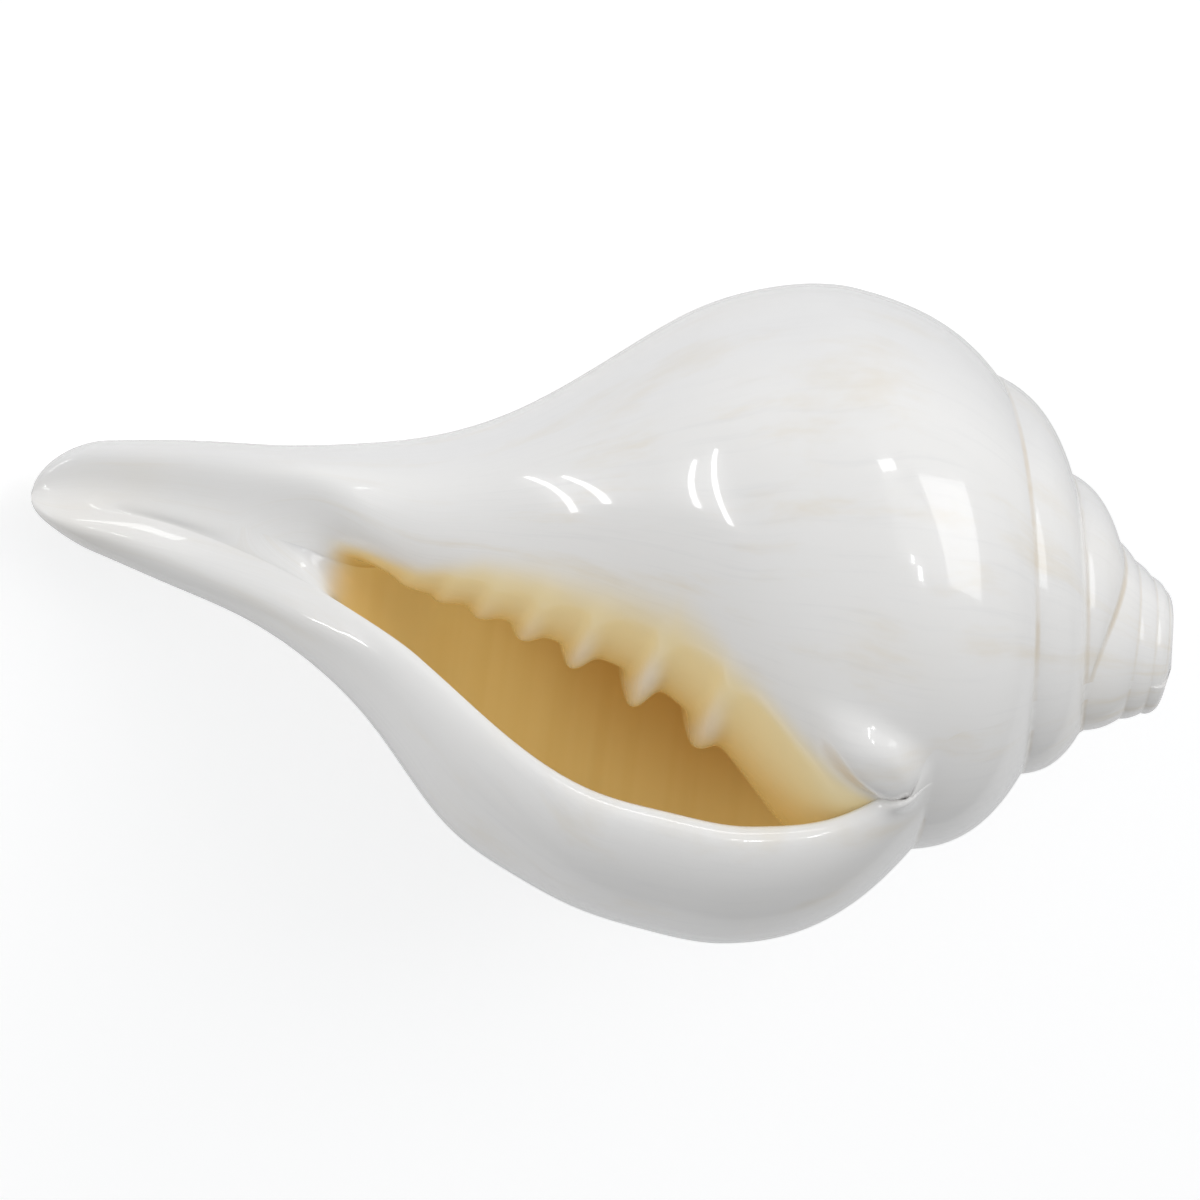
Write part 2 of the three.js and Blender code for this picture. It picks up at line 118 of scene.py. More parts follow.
# The lip: the direction of its rim, and the wall's thickness, both by the place along.
RIM_ANGLE = [
    (0, 112), (8, 116), (22, 134), (40, 146), (53, 150.4), (62, 151.8), (72, 151.8),
    (84, 151.2), (98, 149.8), (108, 148.5), (116, 146), (121, 141.5), (124, 138), (128, 136),
    (160, 136),
]
WALL = [
    (0, 4.0), (20, 4.4), (40, 5.2), (60, 6.0), (80, 6.4), (100, 6.4), (116, 5.8), (122, 5.0),
    (160, 5.0),
]

# How many turns the hollow runs back from the rim, by the place along, and the depths between
# which the mouth opens.
HOLLOW = [
    (0, -0.06), (28, -0.06), (31, 0.0), (34, 0.07), (38, 0.15), (46, 0.23), (56, 0.31),
    (66, 0.38), (80, 0.43), (100, 0.42), (108, 0.36), (114, 0.25), (118, 0.12), (121, 0.035),
    (123, 0.012), (126, -0.03), (130, -0.045), (160, -0.045),
]
OPENING = (-0.05, 0.07)

# The canal's open trough: along, direction of its floor, then the trough's middle, floor,
# steepness and softness. It gives way to the mouth over CANAL_FADE.
CANAL = [
    (0, 76, 1.4, 3.0, 0.13, 4.5), (8, 78, 1.3, 3.1, 0.12, 4.5), (16, 84, 0.6, 3.6, 0.09, 5),
    (24, 94, -0.6, 4.1, 0.075, 6), (32, 106, -2.3, 4.6, 0.065, 7), (40, 120, -4.6, 4.8, 0.07, 7),
    (52, 135, -8, 4.4, 0.09, 6),
]
CANAL_FADE = (38, 57)

# The lip's rounded edge. Its rounding is LIP_ROUND_SHARE of the wall's thickness and reaches
# LIP_REACH times as far over the outside, its tip is LIP_TIP_SHARE of the rounding before the
# rim, and it is at most LIP_STEP_SHARE of the step down to the core. At the end of the mouth,
# over LIP_END, it sinks by LIP_END_SINK into the glaze.
LIP_ROUND_SHARE = 0.62
LIP_REACH = 2.1
LIP_TIP_SHARE = 0.6
LIP_STEP_SHARE = 1.8
LIP_END = (120.5, 125)
LIP_END_SINK = 0.7

# The teeth on the core: along, height. They rise over TEETH_SPAN up to TEETH_DIRECTION, keep
# their height for TEETH_HOLD and fade over TEETH_FADE. They lean by TEETH_SLANT over that span.
# TEETH_WIDTHS are the widths towards the canal and towards the apex.
TEETH = [
    (52.5, 0.5), (57.9, 0.8), (63.4, 1.3), (69.8, 1.9), (77.2, 2.9), (86.2, 4.6), (95.4, 3.7),
]
TEETH_DIRECTION = 545
TEETH_SPAN = 75
TEETH_HOLD = 15
TEETH_FADE = 70
TEETH_SLANT = 4.0
TEETH_WIDTHS = (1.1, 2.3)
TEETH_BLUNTNESS = 2.3

# The pad of thick glaze at the lip's corner: along, direction, reach towards the canal, reach
# towards the apex, reach round, height.
CALLUS = (121.0, 490.0, 8.5, 5.0, 7.5, 2.6)
CALLUS_SLANT = 0.6
CALLUS_FADE = (124.5, 127.5)

# How far apart the loops are, by the place along.
SPACING = [
    (0, 0.25), (3, 0.5), (9, 1.2), (30, 1.0), (45, 0.6), (52, 0.42), (102, 0.42), (112, 0.6),
    (119, 0.35), (128, 0.3), (150, 0.25), (159.5, 0.1),
]

# By the place along: the direction where the mouth's colour starts on the core, how wide its
# soft edge is, and the direction of the teeth's edge. The colour comes in over BLUSH_FADE.
BLUSH_START = [
    (40, 516), (46, 504), (52, 484), (58, 467), (64, 453), (72, 446), (91, 447), (99, 468),
    (109, 483), (119, 494), (124, 500),
]
BLUSH_WIDTH = [
    (40, 26), (50, 40), (70, 62), (90, 62), (98, 34), (104, 24), (110, 18), (118, 12), (124, 9),
]
TEETH_LINE = [(40, 520), (60, 525), (80, 530), (96, 535), (104, 540), (112, 545), (124, 545)]
BLUSH_FADE = (39.5, 50)

# The directions that the body whorl's table covers, and how many whorls there are. Older whorls
# are straighter over OLDER, bulge by WHORL_ROLL of their width, and are worn plain over WORN.
FIRST_TURN, LAST_TURN = 60, 780
WHORLS = 6
SHOULDER_START = 0.2
SHOULDER_LATE = 0.25
WHORL_ROLL = 0.055
OLDER = (380, 560)
WORN = (1150, 1400)


def smooth(x, low, high):
    t = np.clip((np.asarray(x, float) - low) / (high - low), 0, 1)
    return t * t * (3 - 2 * t)


def quarter_round(x):
    return np.sqrt(np.clip(1 - (1 - np.clip(x, 0, 1)) ** 2, 0, 1))


def spline(xs, ys, end_slope=None):
    """Cubic spline, free at its start; free at its end too, or with the slope given there."""
    xs, ys = np.asarray(xs, float), np.asarray(ys, float)
    n, h = len(xs), np.diff(xs)
    rise = np.diff(ys) / h
    lhs, rhs = np.eye(n), np.zeros(n)
    for i in range(1, n - 1):
        lhs[i, i - 1 : i + 2] = h[i - 1], 2 * (h[i - 1] + h[i]), h[i]
        rhs[i] = 6 * (rise[i] - rise[i - 1])
    if end_slope is not None:
        lhs[-1, -2:] = h[-1], 2 * h[-1]
        rhs[-1] = 6 * (end_slope - rise[-1])
    bend = np.linalg.solve(lhs, rhs)
    start = rise[0] - h[0] * (2 * bend[0] + bend[1]) / 6
    finish = rise[-1] + h[-1] * (bend[-2] + 2 * bend[-1]) / 6

    def value(x):
        x = np.asarray(x, float)
        k = np.clip(np.searchsorted(xs, x) - 1, 0, n - 2)
        s = (xs[k + 1] - x) / h[k]
        t = 1 - s
        cubic = ((s**3 - s) * bend[k] + (t**3 - t) * bend[k + 1]) * h[k] ** 2 / 6
        v = s * ys[k] + t * ys[k + 1] + cubic
        v = np.where(x < xs[0], ys[0] + (x - xs[0]) * start, v)
        return np.where(x > xs[-1], ys[-1] + (x - xs[-1]) * finish, v)

    return value


def curve(points, column=1):
    return spline([p[0] for p in points], [p[column] for p in points])


def steady_curve(points):
    """Curve through points that never overshoots them, level beyond its ends."""
    xs, ys = (np.array(c, float) for c in zip(*points))
    h = np.diff(xs)
    rise = np.diff(ys) / h
    slope = np.zeros(len(xs))
    for i in range(1, len(xs) - 1):
        if rise[i - 1] * rise[i] > 0:
            w1, w2 = 2 * h[i] + h[i - 1], h[i] + 2 * h[i - 1]
            slope[i] = (w1 + w2) / (w1 / rise[i - 1] + w2 / rise[i])
    slope[0], slope[-1] = rise[0], rise[-1]

    def value(x):
        v = np.clip(np.asarray(x, float), xs[0], xs[-1])
        k = np.clip(np.searchsorted(xs, v) - 1, 0, len(xs) - 2)
        t = (v - xs[k]) / h[k]
        start = ys[k] * (1 + 2 * t) * (1 - t) ** 2 + slope[k] * h[k] * t * (1 - t) ** 2
        end = ys[k + 1] * t * t * (3 - 2 * t) - slope[k + 1] * h[k] * t * t * (1 - t)
        return start + end

    return value


seam_line = curve(SEAM)
cone_radius = curve(CONE)
centre_side = curve(CENTRE_SIDE)
centre_front = steady_curve(CENTRE_FRONT)
rim_angle = curve(RIM_ANGLE)
wall_thickness = curve(WALL)
hollow_depth = steady_curve(HOLLOW)
canal_shape = [curve(CANAL, k) for k in (1, 2, 3, 4, 5)]
TURNS = np.arange(FIRST_TURN, LAST_TURN + 1.0)


def age(turn):
    """How far a direction is into the older, straighter-sided whorls, 0 to 1."""
    return smooth(turn, *OLDER)


def worn(turn):
    """How far the oldest whorls are worn to a plain cone, 0 to 1."""
    return smooth(turn, *WORN)


def shoulder(s, late, plain=0.0):
    """A whorl's fall from its crest, 1, to its seam, 0."""
    straight = SHOULDER_START + SHOULDER_LATE * late + 0.35 * plain
    bent = 0.5 - 0.3 * late - 0.05 * plain
    return 1 - (straight * s + bent * s**2 + (1 - straight - bent) * s**4)


def roll(s, late, span):
    """How far an older whorl bulges between its two seams."""
    return WHORL_ROLL * span * late * 4 * s * (1 - s)


def body_whorl(levels):
    """The body whorl's radius, one row for each whole direction, one column for each level."""
    join = smooth(TURNS, *CREST_JOIN)
    before = TURNS - 360
    crest_along = curve(CREST, 1)(TURNS) * (1 - join) + seam_line(before) * join
    crest_radius = curve(CREST, 2)(TURNS) * (1 - join) + cone_radius(seam_line(before)) * join
    seam_along = seam_line(TURNS)
    seam_radius = cone_radius(seam_along)
    late = age(TURNS)
    rows = np.array([spline(DIRECTIONS, row)(TURNS) for row in BODY])
    table = np.zeros((len(TURNS), len(levels)))
    for i in range(len(TURNS)):
        top, low = crest_radius[i], seam_radius[i]
        span = seam_along[i] - crest_along[i]
        knots = [crest_along[i] * (k + 1) / 10 for k in range(10)]
        slope = -(SHOULDER_START + SHOULDER_LATE * late[i]) * (top - low) / span
        slope += WHORL_ROLL * late[i] * 4
        rising = spline(knots, [*rows[:, i], top], slope)(levels)
        s = np.clip((levels - crest_along[i]) / span, 0, 1.2)
        falling = low + (top - low) * shoulder(s, late[i]) + roll(s, late[i], span)
        table[i] = np.where(levels <= crest_along[i], rising, falling)
    return table


def seams_crossed():
    """The places along the shell where each whole direction crosses a seam."""
    places = [np.minimum(seam_line(TURNS + 360 * n), LENGTH + 1) for n in range(WHORLS)]
    for n in range(1, WHORLS):
        places[n] = np.maximum(places[n], places[n - 1] + 0.05)
    return places


def outer_radii(along, body, seams):
    """The outermost surface at one level, for each whole direction."""
    out = np.array(body)
    open_rows = along >= seams[0]
    for n in range(1, WHORLS):
        last = n == WHORLS - 1
        here = open_rows & ((along < seams[n]) | (seams[n] >= LENGTH) | last)
        high = np.minimum(seams[n], LENGTH)
        s = np.clip((along - seams[n - 1]) / np.maximum(high - seams[n - 1], 0.3), 0, 1)
        r0 = cone_radius(np.minimum(seams[n - 1], LENGTH))
        r1 = cone_radius(high)
        late, plain = age(TURNS + 360 * n), worn(TURNS + 360 * n)
        arc = r1 + (r0 - r1) * shoulder(s, late, plain) + roll(s, late, high - seams[n - 1])
        out = np.where(here, arc, out)
        open_rows = open_rows & ~here
    return out


def teeth_height(along, turn):
    """How far the teeth stand out of the core."""
    back = np.clip(1 - (TEETH_DIRECTION - turn) / TEETH_SPAN, 0, 1)
    front = np.clip(1 - (turn - TEETH_DIRECTION - TEETH_HOLD) / TEETH_FADE, 0, 1)
    t = np.where(turn < TEETH_DIRECTION, back, front)
    envelope = t * t * (3 - 2 * t)
    height = np.zeros_like(turn)
    for place, size in TEETH:
        x = along - (place + (TEETH_DIRECTION - turn) / TEETH_SPAN * TEETH_SLANT)
        width = np.where(x < 0, *TEETH_WIDTHS)
        height += size * np.exp(-np.abs(x / width) ** TEETH_BLUNTNESS) * envelope
    return height


def callus_height(along, turn):
    """How far the thick glaze at the lip's corner stands out of the core."""
    place, direction, reach_to_canal, reach_to_apex, round_reach, size = CALLUS
    away = along - place
    x = away / (reach_to_canal if away < 0 else reach_to_apex)
    y = (turn - direction - away * CALLUS_SLANT) / round_reach
    return size * np.exp(-((x * x + y * y) ** 2)) * (1 - smooth(along, *CALLUS_FADE))


def spread(first, last, count, near_start, near_end, reach_start, reach_end):
    """Directions from first to last, closer together towards both ends."""
    i = np.arange(count - 1)
    weight = 1 / (
        1 + near_start * np.exp(-i / reach_start) + near_end * np.exp(-(count - 2 - i) / reach_end)
    )
    steps = np.concatenate([[0], np.cumsum(weight)])
    return first + (last - first) * steps / steps[-1]


def spread_levels(count):
    """Levels along the shell, closer together where its shape changes quickly."""
    x = np.linspace(0, LENGTH, 20001)
    density = 1 / np.interp(x, *zip(*SPACING))
    total = np.concatenate([[0], np.cumsum((density[1:] + density[:-1]) / 2 * np.diff(x))])
    return np.interp(np.linspace(0, total[-1], count + 2)[1:-1], total, x)


def press_canal(points, middle, floor, steepness, softness):
    """Press the canal's rounded trough into the side that faces the front."""
    side, front = points[:, 0], points[:, 1]
    trough = floor + steepness * (side - middle) ** 2
    blend = np.maximum(softness - np.abs(front - trough), 0) / softness
    pressed = np.minimum(front, trough) - blend * blend * softness / 4
    return np.stack([side, np.where(front > 0, pressed, front)], -1)


def polar(radius, turn):
    return np.stack([radius * np.cos(np.radians(turn)), radius * np.sin(np.radians(turn))], -1)


class Loop:
    """One closed loop of the surface, with what the paint needs to know about each point."""

    def __init__(self, along, body, seams, outer_count, inner_count):
        table = outer_radii(along, body, seams)

        def skin(turn):
            return np.interp(turn, TURNS, table)

        rim = float(rim_angle(along))
        thick = float(wall_thickness(along))
        depth = float(hollow_depth(along))
        centre = np.array([float(centre_side(along)), float(centre_front(along))])
        round_over = math.degrees(LIP_ROUND_SHARE * thick / max(float(skin(rim)), 6.0))
        tip = rim - round_over * LIP_TIP_SHARE
        step = max(float(skin(tip) - skin(tip + 360)), 0)
        flush = 1 - LIP_END_SINK * float(smooth(along, *LIP_END))
        edge = min(thick, LIP_STEP_SHARE * step) * flush
        if along > float(seam_line(tip)):
            edge = 0.0
        end = rim + 360 + 360 * depth
        core_start = rim + 334

        # points run over the outside from the lip, on over the core, and back inside the wall
        outside_count = int(outer_count * 0.66)
        core_count = outer_count - outside_count
        outside = spread(
            tip, core_start, outside_count + 1,
            near_start=3, near_end=0.6, reach_start=outside_count * 0.06, reach_end=14,
        )[:-1]
        core = spread(
            core_start, end, core_count,
            near_start=0, near_end=5, reach_start=4, reach_end=core_count * 0.1,
        )
        out = np.concatenate([outside, core])
        back = spread(
            end - 360, tip, inner_count + 2,
            near_start=3, near_end=10, reach_start=inner_count * 0.06, reach_end=inner_count * 0.09,
        )[1:-1]

        tip_radius = float(skin(tip)) - edge / 2

        def lip_round(t):
            return edge / 2 * (1 - quarter_round((t - tip) / (round_over * LIP_REACH)))

        def wall_inside(t):
            if edge == 0:
                return skin(t + 360)
            return np.where(t < tip, tip_radius, skin(t) - edge + lip_round(t))

        # the hollow's blind end is rounded between the core and the wall
        deep_core = float(skin(end - 2))
        deep_wall = float(wall_inside(np.array(end - 362.0)))
        gap = max(deep_wall - deep_core, 1.0)
        reach = math.degrees(0.55 * gap / max((deep_wall + deep_core) / 2, 4))
        deep_round = max(min(reach, max((end - 360 - tip) * 0.8, 0)), 2.5)

        def close_off(core_r, wall_r, t, towards):
            half = (wall_r - core_r) / 2
            rounded = (core_r + wall_r) / 2 + towards * half * quarter_round((end - t) / deep_round)
            return np.where(t > end - deep_round, rounded, wall_r if towards > 0 else core_r)

        is_open = float(smooth(depth, *OPENING))
        plain = skin(out) - lip_round(out)
        out_r = close_off(plain, wall_inside(out - 360), out, -1) * is_open + plain * (1 - is_open)
        out_r = out_r + teeth_height(along, out)
        under_lip = smooth(out, tip + 360, tip + 375) * is_open
        out_r = out_r + callus_height(along, out) * (1 - under_lip)
        out_r = out_r + callus_height(along, out + 360)
        core_r = skin(back + 360)
        share = (back - (end - 360)) / (tip - (end - 360))
        ramp = core_r + (tip_radius - core_r) * smooth(share, 0, 1) if edge > 0 else core_r
        hollow = close_off(core_r, wall_inside(back), back + 360, 1)
        back_r = hollow * is_open + ramp * (1 - is_open)
        back_r = back_r + callus_height(along, back + 360) * (1 - is_open)
        points = polar(np.concatenate([out_r, back_r]), np.concatenate([out, back]))

        whorled = float(smooth(along, *CANAL_FADE))
        if whorled < 1:
            floor_at, *press = (float(c(along)) for c in canal_shape)
            stretch = (360 + floor_at - 400) / (end - 400)
            moved = np.where(out < 400, out, 400 + (out - 400) * stretch)
            moved_back = floor_at + (tip - floor_at) * share
            ease = smooth(share, 0, 1)
            plain_back = skin(moved_back + 360) * (1 - ease) + float(skin(tip)) * ease
            outline = polar(
                np.concatenate([skin(moved), plain_back]), np.concatenate([moved, moved_back])
            )
            pressed = press_canal(outline, *press)
            points = pressed * (1 - whorled) + points * whorled

        rounding = float(quarter_round(along / TIP_ROUND))
        shrink = 1 - (1 - float(quarter_round((LENGTH - along) / APEX_ROUND))) * APEX_SHRINK
        placed = along - TIP_PULL * max(0, 1 - along / TIP_PULL_REACH) ** 2
        self.points = np.column_stack(
            [np.full(len(points), placed), centre + points * rounding * shrink]
        )
        self.turn = np.concatenate([out, back])
        self.on_core = np.concatenate([np.ones(len(out)), np.zeros(len(back))])
        self.open = is_open
        self.past_rim = np.concatenate([np.full(len(out), -1.0), (back - tip) / round_over])


def shell_surface(level_count, outer_count, inner_count):
    levels = spread_levels(level_count)
    bodies = body_whorl(levels)
    seams = seams_crossed()
    return levels, [
        Loop(a, bodies[:, j], seams, outer_count, inner_count) for j, a in enumerate(levels)
    ]


def resting_axes():
    """The long way, the side way and up, for a shell that lies with REST_DOWN downwards."""
    up = -Vector(REST_DOWN).normalized()
    long_way = (Vector((1, 0, 0)) - up * up.x).normalized()
    return np.array([long_way, up.cross(long_way), up])


def surface_attributes(levels, loops):
    """What the paint reads: where each point is on the shell."""
    along = np.repeat(levels, len(loops[0].turn))
    turn = np.concatenate([loop.turn for loop in loops])
    on_core = np.concatenate([loop.on_core for loop in loops])
    is_open = np.repeat([loop.open for loop in loops], len(loops[0].turn))
    past_rim = np.concatenate([loop.past_rim for loop in loops])

    # distance to the nearest seam that shows
    seam = np.full(len(along), 9.0)
    for n in range(WHORLS):
        away = np.abs(along - seam_line(turn + 360 * n))
        hidden = 1 - smooth(turn + 360 * n, 141, 150) + 0.25 * worn(turn + 360 * n)
        seam = np.minimum(seam, away + hidden)
    seam[on_core == 0] = 9

    # the mouth's colour: on the core it starts at a soft line that sharpens towards the lip's
    # corner, and on the wall it starts just inside the rim
    start = np.interp(along, *zip(*BLUSH_START))
    width = np.interp(along, *zip(*BLUSH_WIDTH))
    core_side = smooth(turn, start, start + width) * on_core
    wall_side = np.where(on_core > 0, 0, smooth(past_rim, 0.25, 1.3))
    fade_in = smooth(along, *BLUSH_FADE) * smooth(is_open, 0.1, 0.7)
    mouth = (core_side + wall_side) * fade_in
    teeth_line = np.interp(along, *zip(*TEETH_LINE))
    core_depth = smooth(turn, teeth_line - 8, teeth_line + 45)
    depth = np.where(on_core > 0, core_depth, smooth(past_rim, 0.6, 4)) * fade_in
    deep = np.where(on_core > 0, core_depth, smooth(past_rim, 11, 22)) * fade_in
    teeth = teeth_height(along, turn) * on_core / TEETH[-2][1]
    return {
        "growth": turn / 360,
        "along": along / LENGTH,
        "seam": seam / 10,
        "mouth": mouth,
        "depth": depth,
        "deep": deep,
        "teeth": teeth,
    }


# ---------------------------------------------------------------------------
# Settings
# ---------------------------------------------------------------------------
class ShellSettings(bpy.types.PropertyGroup):
    length: bpy.props.FloatProperty(
        name="Length",
        description="Length of the coiling line from the canal's tip to the apex",
        default=LENGTH * MM,
        unit="LENGTH",
    )
    level_count: bpy.props.IntProperty(
        name="Levels", description="Loops along the shell", default=340, min=60, max=400
    )
    outer_count: bpy.props.IntProperty(
        name="Outer points", description="Points of a loop on the outside", default=182
    )
    inner_count: bpy.props.IntProperty(
        name="Inner points", description="Points of a loop on the wall's inside", default=108
    )
    porcelain: bpy.props.FloatVectorProperty(
        name="Porcelain", description="Polished outside", subtype="COLOR", size=4,
        default=(0.87, 0.86, 0.845, 1), min=0, max=1,
    )
    cream: bpy.props.FloatVectorProperty(
        name="Cream", description="Warm growth streaks", subtype="COLOR", size=4,
        default=(0.78, 0.70, 0.56, 1), min=0, max=1,
    )
    # this grey also paints the shade along the shoulder and under the lip, besides the cool growth
    # streaks
    mist_and_painted_shade: bpy.props.FloatVectorProperty(
        name="Mist", description="Cool growth streaks", subtype="COLOR", size=4,
        default=(0.66, 0.66, 0.67, 1), min=0, max=1,
    )
    blush: bpy.props.FloatVectorProperty(
        name="Blush", description="Cream edge of the mouth's colour", subtype="COLOR", size=4,
        default=(0.97, 0.80, 0.43, 1), min=0, max=1,
    )
    amber: bpy.props.FloatVectorProperty(
        name="Amber", description="Inside the mouth", subtype="COLOR", size=4,
        default=(0.84, 0.56, 0.20, 1), min=0, max=1,
    )
    glow: bpy.props.FloatProperty(
        name="Glow", description="Light that comes through the wall into the hollow",
        default=0.115, min=0,
    )
    glow_colour: bpy.props.FloatVectorProperty(
        name="Glow colour", description="Colour of the light inside the hollow", subtype="COLOR",
        size=4, default=(1.0, 0.95, 0.38, 1), min=0, max=1,
    )
    honey: bpy.props.FloatVectorProperty(
        name="Honey", description="Deepest part of the hollow", subtype="COLOR", size=4,
        default=(0.72, 0.42, 0.07, 1), min=0, max=1,
    )
    seam_tan: bpy.props.FloatVectorProperty(
        name="Seam", description="Thin line along the seams", subtype="COLOR", size=4,
        default=(0.58, 0.42, 0.20, 1), min=0, max=1,
    )


class StageSettings(bpy.types.PropertyGroup):
    floor: bpy.props.FloatVectorProperty(
        name="Floor", description="Plain floor", subtype="COLOR", size=4,
        default=(0.80, 0.80, 0.80, 1), min=0, max=1,
    )
    floor_glow: bpy.props.FloatProperty(
        name="Floor glow", description="How much the floor glows, as a lit table does",
        default=0.46, min=0,
    )
    light: bpy.props.FloatProperty(
        name="Lights", description="Brightness of all the lights together", default=1.0, min=0
    )
    sky: bpy.props.FloatProperty(
        name="Sky", description="Brightness of the even light all round", default=0.54, min=0
    )


# ---------------------------------------------------------------------------
# Materials
# ---------------------------------------------------------------------------
class Nodes:
    """Short calls for laying out a material's nodes."""

    def __init__(self, material):
        material.use_nodes = True
        self.tree = material.node_tree
        self.tree.nodes.clear()

    def add(self, kind, **values):
        node = self.tree.nodes.new(kind)
        for name, value in values.items():
            setattr(node, name, value)
        return node

    def link(self, source, target):
        self.tree.links.new(source, target)

    def attribute(self, name):
        return self.add("ShaderNodeAttribute", attribute_name=name).outputs["Fac"]

    def math(self, operation, a, b=None, clamp=False):
        node = self.add("ShaderNodeMath", operation=operation, use_clamp=clamp)
        for socket, value in zip(node.inputs, (a, b)):
            if value is None:
                continue
            if isinstance(value, (int, float)):
                socket.default_value = value
            else:
                self.link(value, socket)
        return node.outputs[0]

    def ramp(self, value, low, high, to_low=0.0, to_high=1.0):
        node = self.add("ShaderNodeMapRange", interpolation_type="SMOOTHSTEP")
        self.link(value, node.inputs["Value"])
        for name, number in zip(
            ("From Min", "From Max", "To Min", "To Max"), (low, high, to_low, to_high)
        ):
            node.inputs[name].default_value = number
        return node.outputs["Result"]

    def mix(self, factor, a, b):
        node = self.add("ShaderNodeMix", data_type="RGBA")
        for socket, value in zip((node.inputs[0], node.inputs[6], node.inputs[7]), (factor, a, b)):
            if hasattr(value, "is_output"):
                self.link(value, socket)
            else:
                socket.default_value = value
        return node.outputs[2]

    def noise(self, vector, scale, detail=3.0, roughness=0.5):
        node = self.add("ShaderNodeTexNoise")
        self.link(vector, node.inputs["Vector"])
        node.inputs["Scale"].default_value = scale
        node.inputs["Detail"].default_value = detail
        node.inputs["Roughness"].default_value = roughness
        return node.outputs["Fac"]

    def vector(self, x, y, z=0.0):
        node = self.add("ShaderNodeCombineXYZ")
        for socket, value in zip(node.inputs, (x, y, z)):
            if isinstance(value, (int, float)):
                socket.default_value = value
            else:
                self.link(value, socket)
        return node.outputs[0]


def polished_shell_material(settings):
    material = bpy.data.materials.new("polished_shell")
    n = Nodes(material)
    growth, along = n.attribute("growth"), n.attribute("along")
    seam, mouth, depth = n.attribute("seam"), n.attribute("mouth"), n.attribute("depth")
    teeth, deep = n.attribute("teeth"), n.attribute("deep")
    texture = n.add("ShaderNodeTexCoord").outputs["Object"]

    # growth streaks run from the seam to the canal, along the lip of each age
    wander = n.noise(texture, 22, 2)
    age_place = n.math("ADD", growth, n.math("MULTIPLY", wander, 0.06))
    broad_place = n.vector(n.math("MULTIPLY", age_place, 9.0), n.math("MULTIPLY", along, 2.2))
    streaks = n.noise(broad_place, 3.0, 4, 0.6)
    fine_place = n.vector(n.math("MULTIPLY", age_place, 60.0), n.math("MULTIPLY", along, 3.0))
    fine = n.noise(fine_place, 2.5, 3, 0.6)
    cloud = n.noise(texture, 38, 3)
    past_canal = n.ramp(along, 0.22, 0.42, 0.3, 1)
    warm = n.math("MULTIPLY", n.ramp(streaks, 0.50, 0.78, 0, 0.55), past_canal)
    cool = n.math("MULTIPLY", n.ramp(fine, 0.50, 0.80, 0, 0.18), past_canal)
    colour = n.mix(warm, settings.porcelain, settings.cream)
    colour = n.mix(cool, colour, settings.mist_and_painted_shade)
    colour = n.mix(n.ramp(cloud, 0.48, 0.75, 0, 0.14), colour, settings.cream)

    # painted shade: a greyer tone along the shoulder and under the lip, where those edges turn away
    # from the light
    shoulder_painted_shade = n.math(
        "MULTIPLY", n.ramp(growth, 0.84, 0.97, 0, 0.5), n.ramp(growth, 1.07, 1.17, 1, 0)
    )
    under_lip_painted_shade = n.math(
        "MULTIPLY", n.ramp(growth, 0.48, 0.54, 0, 0.4), n.ramp(growth, 0.58, 0.66, 1, 0)
    )
    colour = n.mix(n.math("ADD", shoulder_painted_shade, under_lip_painted_shade), colour, settings.mist_and_painted_shade)

    # the mouth's cream edge, amber inside, deeper at the back
    edge_noise = n.math("MULTIPLY", n.math("SUBTRACT", n.noise(texture, 160, 2), 0.5), 0.25)
    mouth_place = n.math("ADD", mouth, n.math("MULTIPLY", edge_noise, mouth), clamp=True)
    colour = n.mix(n.ramp(mouth_place, 0.02, 0.75, 0, 0.92), colour, settings.blush)
    colour = n.mix(n.ramp(depth, 0.05, 0.9, 0, 0.9), colour, settings.amber)
    colour = n.mix(n.ramp(deep, 0.1, 0.95, 0, 0.75), colour, settings.honey)

    # faint bands in the hollow, and paler teeth
    band_place = n.vector(n.math("MULTIPLY", along, 34.0), n.math("MULTIPLY", growth, 1.5))
    bands = n.ramp(n.noise(band_place, 1.0, 2), 0.42, 0.68, 0, 0.30)
    colour = n.mix(n.math("MULTIPLY", bands, n.ramp(depth, 0.3, 1.0)), colour, settings.honey)
    colour = n.mix(n.ramp(teeth, 0.04, 0.5, 0, 0.80), colour, settings.porcelain)

    # thin tan line in the seams
    line = n.ramp(seam, 0.010, 0.060, 0.85, 0)
    broken = n.ramp(n.noise(texture, 90, 3), 0.35, 0.7, 0.05, 0.55)
    outside = n.math("SUBTRACT", 1.0, mouth, clamp=True)
    line = n.math("MULTIPLY", n.math("MULTIPLY", line, broken), outside)
    colour = n.mix(line, colour, settings.seam_tan)

    # the faint relief of the growth streaks under the polish
    bump = n.add("ShaderNodeBump")
    bump.inputs["Strength"].default_value = 0.12
    bump.inputs["Distance"].default_value = 0.0004
    relief = n.math("ADD", n.math("MULTIPLY", fine, 0.35), n.math("MULTIPLY", streaks, 0.65))
    n.link(relief, bump.inputs["Height"])

    shader = n.add("ShaderNodeBsdfPrincipled")
    n.link(colour, shader.inputs["Base Color"])
    n.link(bump.outputs["Normal"], shader.inputs["Normal"])
    n.link(n.ramp(cloud, 0.3, 0.8, 0.16, 0.24), shader.inputs["Roughness"])
    # light that comes through the wall into the hollow
    glow = n.ramp(depth, 0.15, 1.0, 0, settings.glow)
    glow = n.math("MULTIPLY", glow, n.ramp(deep, 0.0, 0.8, 1.25, 0.45))
    shader.inputs["Emission Color"].default_value = settings.glow_colour
    n.link(glow, shader.inputs["Emission Strength"])
    shader.inputs["IOR"].default_value = 1.53
    shader.inputs["Coat Weight"].default_value = 1.0
    shader.inputs["Coat Roughness"].default_value = 0.03
    output = n.add("ShaderNodeOutputMaterial")
    n.link(shader.outputs[0], output.inputs["Surface"])
    return material


# The share of the floor's glow that the shell's gloss sees.
FLOOR_GLOW_IN_GLOSS = 0.15


